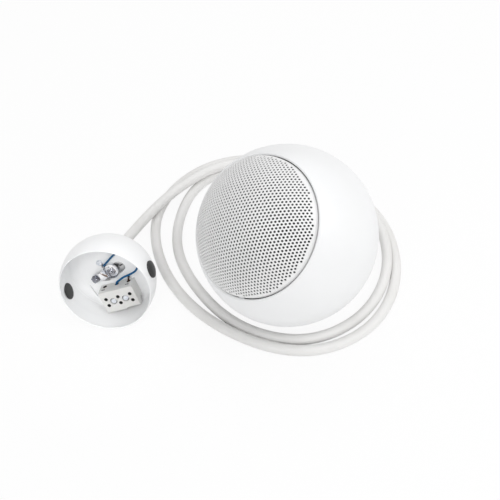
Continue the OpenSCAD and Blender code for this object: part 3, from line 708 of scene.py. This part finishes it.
def add_terminals():
    """The terminal block with its entries, painted shade in its screw wells, entries, sinks and slots, and
    its two fixing screws.
    """
    side_y = BLOCK_W / 2
    side = [(-side_y + 5, 0), (side_y, 0), (side_y, BLOCK_H)]
    side += [(-side_y, BLOCK_H), (-side_y, 8), (-side_y + 5, 8)]
    body = moved(prism(side, -BLOCK_L / 2, BLOCK_L / 2), turn=90, tilt=90)
    cuts = []
    screws = []
    for i in (-1, 0, 1):
        x = i * POLE_PITCH
        cuts += [moved(rod(WELL_R, POLE_H, 30, 28), x, y) for y in (WELL_Y, -WELL_Y)]
        cuts.append(moved(rod(ENTRY_R, -30, 30), x, 0, POLE_H, tilt=90))
        if i:
            cuts.append(moved(block((-2.0, -0.7, -3), (2.0, 0.7, 3)), x + SLOT_X, side_y, SLOT_Z, tilt=90))
    for s in (-1, 1):
        x = s * POLE_PITCH / 2
        cuts.append(moved(rod(SINK_R, BLOCK_H - 2.5, 30), x, SINK_Y))
        screws.append(moved(slotted_head(2.9, 2.2, 0.7, 25 - 20 * s), BLOCK_AT[0] + x, BLOCK_AT[1] - 0.5,
                            BASE_TOP + 13.8))
    cuts.append(block((4, -side_y - 1, BLOCK_H - 2), (24, -side_y + 1.2, BLOCK_H + 2)))
    body = carved(body, cuts, rounding=0.45, steps=3)
    piece = add_piece("terminals", moved(body, *BLOCK_AT, BASE_TOP), CANOPY, "block_grey", "terminal_block")
    # Painted shade: the walls of the wells, entries, sinks and slots take a near-black second finish that
    # stands in for the shade falling in these hollows.
    piece.data.materials.append(MATERIAL["bobbin_black"])
    for face, points in zip(piece.data.polygons, body[1]):
        if in_painted_shade(*sum((Vector(body[0][i]) for i in points), Vector()) / len(points)):
            face.material_index = 1
    add_piece("fixing_screws", joined(*screws), CANOPY, "zinc_pale", "block_screws")


def add_cores():
    """The cable's two cores, from the base to the block."""
    top = BLOCK_AT[1] + BLOCK_W / 2
    deep = BASE_TOP + POLE_H
    blue = [(-7.3, 6, -27), (-7.1, 6.9, -21.5), (-5.6, 9, -17.8), (0, 12.6, -16.8), (7, 17.2, -15.5),
            (14.0, 21, -13.8), (23, 23.5, -9.5), (31, 18.5, -6), (34, 11, -5), (33.4, 5, -5.6),
            (28.6, -0.8, -7.8), (20.1, -4.5, -10), (10.5, -7.3, -12), (3.6, -10.6, -13.8),
            (BLOCK_AT[0], top + 0.5, deep), (BLOCK_AT[0], top - 5, deep)]
    x = BLOCK_AT[0] + POLE_PITCH
    brown = [(x - 3, top + 7.5, -30), (x - 0.6, top + 3.8, -26), (x - 0.1, top + 2.6, -21.5),
             (x, top + 1.6, -17.6), (x, top + 0.5, deep), (x, top - 5, deep)]
    add_piece("core_a", tube(spline(blue, 0.8), BLUE_R, 24), CANOPY, "core_blue", "blue_core", 50.0)
    add_piece("core_b", tube(spline(brown, 0.8), BROWN_R, 20), CANOPY, "core_brown", "brown_core", 50.0)


def add_plugs():
    """Soft rubber plugs with a domed head, one in each side hole."""
    seat = CANOPY_R - 0.75
    for name, node, head, out, side, roll in (("right_plug", "plug_right", 9.0, 0.7, 0.8, 90),
                                              ("left_plug", "plug_left", 9.3, 0, 0, -90)):
        profile = [(0, 44.9), (5.2, 45.0)] + arc(8.0, 45.9, 0.75, -75, 20, 6) + [(8.3, 46.6), (4.9, 46.7)]
        profile += [(4.9, seat), (head, seat - 0.75)]
        profile += arc(head - 0.9, seat + 0.2 + out, 0.9, -30, 55, 6)
        profile += [(5.6, 50.45 + out), (3.0, 50.95 + out), (0, 51.1 + out)]
        shape = moved(moved(lathe(profile, 64, closed=False), roll=roll), y=side)
        add_piece(name, shape, CANOPY, "rubber_black", node, 45.0)


def add_entries():
    """The collars through which the cable leaves the ball and the canopy."""
    for name, node, place, seat, r, stem, out, look in (
            ("ball_entry", "gland_body", BALL, BALL_R - 0.8, 12.0, 8.0, 8.0, "shell_white"),
            ("canopy_entry", "canopy_bush", CANOPY, CANOPY_R - 0.6, 9.5, 6.6, 6.0, "canopy_white")):
        profile = [(4.5, -out), (CORD_R + 1.2, -out)] + arc(CORD_R + 1.2, -out + 0.6, 0.6, -90, -20, 4)
        profile += arc(r - 0.8, -2.2, 0.8, -60, 0, 6) + [(r, 0), (stem, 0), (stem, 6), (4.5, 6)]
        shape = moved(lathe(profile, 96), z=-seat)
        add_piece(name, shape, place, look, node)


# Stage

# Share of plain white in the floor that the camera sees
FLOOR_GLOW = 0.9
# Level of the surroundings as light on the object
WORLD_LIGHT = 0.62
FLOOR_REACH = 6


def add_floor():
    """A pale floor that looks white to the camera and keeps a soft shadow."""
    mesh = bpy.data.meshes.new("floor")
    corners = [(x * FLOOR_REACH, y * FLOOR_REACH, 0) for x, y in ((-1, -1), (1, -1), (1, 1), (-1, 1))]
    mesh.from_pydata(corners, [], [(0, 1, 2, 3)])
    floor = bpy.data.objects.new("floor", mesh)
    bpy.context.scene.collection.objects.link(floor)
    material = bpy.data.materials.new("floor")
    material.use_nodes = True
    nodes = material.node_tree.nodes
    links = material.node_tree.links
    nodes.clear()
    out = nodes.new("ShaderNodeOutputMaterial")
    white = nodes.new("ShaderNodeEmission")
    white.inputs["Color"].default_value = (1, 1, 1, 1)
    cloth = nodes.new("ShaderNodeBsdfDiffuse")
    cloth.inputs["Color"].default_value = (0.9, 0.9, 0.9, 1)
    rays = nodes.new("ShaderNodeLightPath")
    seen = nodes.new("ShaderNodeMath")
    seen.operation = "MAXIMUM"
    links.new(rays.outputs["Is Camera Ray"], seen.inputs[0])
    links.new(rays.outputs["Is Glossy Ray"], seen.inputs[1])
    share = nodes.new("ShaderNodeMath")
    share.operation = "MULTIPLY"
    share.inputs[1].default_value = FLOOR_GLOW
    links.new(seen.outputs[0], share.inputs[0])
    mix = nodes.new("ShaderNodeMixShader")
    links.new(share.outputs[0], mix.inputs[0])
    links.new(cloth.outputs[0], mix.inputs[1])
    links.new(white.outputs[0], mix.inputs[2])
    links.new(mix.outputs[0], out.inputs["Surface"])
    mesh.materials.append(material)


def add_world():
    """Even white surroundings, with the darker bands of a studio in what the metal reflects."""
    world = bpy.data.worlds.new("world")
    bpy.context.scene.world = world
    world.use_nodes = True
    nodes = world.node_tree.nodes
    links = world.node_tree.links
    background = nodes["Background"]
    rays = nodes.new("ShaderNodeLightPath")
    coords = nodes.new("ShaderNodeTexCoord")
    split = nodes.new("ShaderNodeSeparateXYZ")
    links.new(coords.outputs["Generated"], split.inputs["Vector"])
    bands = nodes.new("ShaderNodeValToRGB")
    stops = [(0.0, (0.9, 0.9, 0.9)), (0.1, (0.12, 0.08, 0.06)), (0.24, (0.4, 0.3, 0.25)),
             (0.3, (1, 1, 1)), (0.5, (0.9, 0.93, 1.0)), (0.56, (0.04, 0.045, 0.06)),
             (0.64, (0.1, 0.12, 0.16)), (0.7, (1, 1, 1))]
    while len(bands.color_ramp.elements) < len(stops):
        bands.color_ramp.elements.new(0.5)
    for element, (place, tone) in zip(bands.color_ramp.elements, stops):
        element.position = place
        element.color = (*tone, 1.0)
    links.new(split.outputs["Z"], bands.inputs["Fac"])
    glossy = nodes.new("ShaderNodeMixRGB")
    glossy.inputs["Color1"].default_value = (WORLD_LIGHT, WORLD_LIGHT, WORLD_LIGHT, 1)
    links.new(rays.outputs["Is Glossy Ray"], glossy.inputs["Fac"])
    links.new(bands.outputs["Color"], glossy.inputs["Color2"])
    camera = nodes.new("ShaderNodeMixRGB")
    camera.inputs["Color2"].default_value = (1, 1, 1, 1)
    links.new(rays.outputs["Is Camera Ray"], camera.inputs["Fac"])
    links.new(glossy.outputs["Color"], camera.inputs["Color1"])
    links.new(camera.outputs["Color"], background.inputs["Color"])


def hang(data, place, aim):
    """Puts a lamp at place and turns it to aim."""
    lamp = bpy.data.objects.new(data.name, data)
    lamp.location = place
    lamp.rotation_euler = (Vector(aim) - Vector(place)).to_track_quat("-Z", "Y").to_euler()
    bpy.context.scene.collection.objects.link(lamp)


def add_lamp(name, place, aim, size, power):
    """A square softbox."""
    data = bpy.data.lights.new(name, "AREA")
    data.shape = "SQUARE"
    data.size = size
    data.energy = power
    hang(data, place, aim)


def add_spot(name, place, aim, angle, power):
    """A soft spot that lights one part of the object."""
    data = bpy.data.lights.new(name, "SPOT")
    data.spot_size = math.radians(angle)
    data.spot_blend = 0.6
    data.shadow_soft_size = 0.07
    data.energy = power
    hang(data, place, aim)


def add_lights():
    """White surroundings, three softboxes round the object and a spot into the canopy, in metres."""
    add_world()
    add_lamp("key", (0.9, -0.4, 1.3), (0.05, 0, 0.08), 0.9, 7.5)
    add_lamp("top", (0.1, 0.7, 1.4), (0.05, 0, 0.08), 1.0, 4.0)
    add_lamp("front", (-0.4, -1.6, 0.9), (0, 0, 0.08), 1.2, 5.5)
    add_spot("cup", (-0.17, -0.44, 0.58), (-0.122, -0.045, 0.04), 13.0, 5.5)


add_camera()
dress_nodes()
add_cord()
add_ball_shell()
add_grille()
add_canopy_shell()
add_base()
add_clamp()
add_terminals()
add_cores()
add_plugs()
add_entries()
add_floor()
add_lights()
bpy.context.scene.view_settings.view_transform = "Standard"
